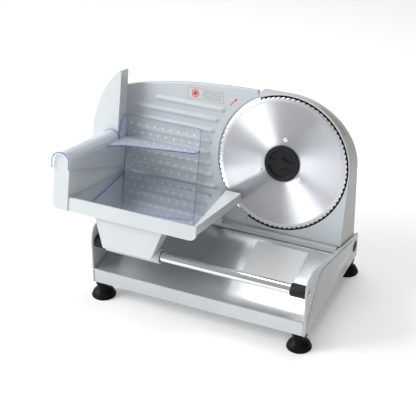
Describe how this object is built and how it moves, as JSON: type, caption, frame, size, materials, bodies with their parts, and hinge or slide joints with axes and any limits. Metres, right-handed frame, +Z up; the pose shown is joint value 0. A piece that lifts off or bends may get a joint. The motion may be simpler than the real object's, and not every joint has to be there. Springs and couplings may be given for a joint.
{
  "type": "food slicer",
  "caption": "Electric food slicer: leaning serrated disc blade with worm drive, sliding gauge plate and a food carriage with a clear pusher on a rod, on a sheet base with suction feet.",
  "frame": {"origin": "centre of the bounding box, on the surface that the feet stand on", "axes": "+X to the operator's right along the carriage rod, +Y to the back, +Z up; the operator stands at -Y"},
  "size_m": [0.3948, 0.2456, 0.2818],
  "materials": {
    "body_paint": "satin silver-grey powder coat",
    "cheek_paint": "satin mid-grey coat",
    "pan_steel": "semi-gloss silver coat",
    "stainless": "polished sheet",
    "blade_steel": "turned, radial sheen",
    "chrome": "polished",
    "zinc": "zinc plated",
    "black_plastic": "satin black moulding",
    "rubber": "black, slightly shiny",
    "nylon": "natural nylon",
    "bronze": "sintered bronze",
    "motor_steel": "plain steel",
    "clear_plastic": "clear, blue-violet at its edges"
  },
  "bodies": {
    "base": {"tower_shell": "body_paint", "tower_back_cover": "body_paint", "rear_guide_rail": "cheek_paint", "spindle_bush": "bronze", "motor_body": "motor_steel", "worm_bearing": "bronze", "gauge_bush_left": "bronze", "gauge_bush_right": "bronze", "gauge_housing": "body_paint", "base_pan": "pan_steel", "bottom_cover": "motor_steel", "left_cheek": "cheek_paint", "right_cheek": "cheek_paint", "foot_front_left": "rubber", "foot_front_right": "rubber", "foot_rear_left": "rubber", "foot_rear_right": "rubber", "foot_bolt_front_left": "zinc", "foot_bolt_front_right": "zinc", "foot_bolt_rear_left": "zinc", "foot_bolt_rear_right": "zinc", "guide_rod": "chrome", "rod_bush_left": "black_plastic", "rod_bush_right": "black_plastic", "rod_screw_left": "zinc", "rod_screw_right": "zinc", "button_bezel": "black_plastic", "switch_body": "black_plastic", "cord_gland": "black_plastic", "underside_bumper": "rubber"},
    "blade": {"blade": "blade_steel", "drive_flange": "black_plastic", "blade_screw_1": "zinc", "blade_screw_2": "zinc", "blade_screw_3": "zinc", "blade_spindle": "motor_steel", "blade_gear": "nylon"},
    "blade_lock": {"blade_lock": "black_plastic"},
    "motor_rotor": {"worm_shaft": "motor_steel"},
    "gauge": {"gauge_plate": "body_paint", "guide_bar_left": "chrome", "guide_bar_right": "chrome", "adjust_rod": "zinc"},
    "knob": {"thickness_knob": "black_plastic"},
    "carriage": {"carriage_frame": "body_paint", "food_tray": "stainless", "carriage_leg": "body_paint", "leg_bush_left": "black_plastic", "leg_bush_right": "black_plastic", "rear_slider": "body_paint"},
    "pusher": {"pusher": "clear_plastic"},
    "button": {"power_button": "black_plastic"}
  },
  "joints": [
    {"name": "carriage_slide", "type": "slide", "parent": "base", "child": "carriage", "axis": [1, 0, 0], "range_m": [0, 0.17]},
    {"name": "pusher_slide", "type": "slide", "parent": "carriage", "child": "pusher", "axis": [0, -0.9781, 0.2079], "range_m": [0, 0.095]},
    {"name": "blade_spin", "type": "hinge", "parent": "base", "child": "blade", "pos_m": [0.08908, 0.05857, 0.1833], "axis": [0, 0.9781, -0.2079], "continuous": true},
    {"name": "motor_spin", "type": "hinge", "parent": "base", "child": "motor_rotor", "pos_m": [0.08908, 0.07967, 0.13588], "axis": [1, 0, 0], "continuous": true},
    {"name": "blade_lock_turn", "type": "hinge", "parent": "blade", "child": "blade_lock", "pos_m": [0.08908, 0.05857, 0.1833], "axis": [0, 0.9781, -0.2079], "range_deg": [0, 90]},
    {"name": "gauge_slide", "type": "slide", "parent": "base", "child": "gauge", "axis": [0, 0.9781, -0.2079], "range_m": [0, 0.013]},
    {"name": "knob_turn", "type": "hinge", "parent": "base", "child": "knob", "pos_m": [-0.06893, 0.09104, 0.14368], "axis": [0, 0.9781, -0.2079], "range_deg": [0, 301]},
    {"name": "button_press", "type": "slide", "parent": "base", "child": "button", "axis": [-1, 0, 0], "range_m": [0, 0.003], "stiffness_N_per_m": 400, "springref_m": -0.002}
  ],
  "couplings": [
    {"joint": "motor_spin", "follows": "blade_spin", "ratio": 48},
    {"joint": "knob_turn", "follows": "gauge_slide", "rad_per_m": 402.77}
  ]
}
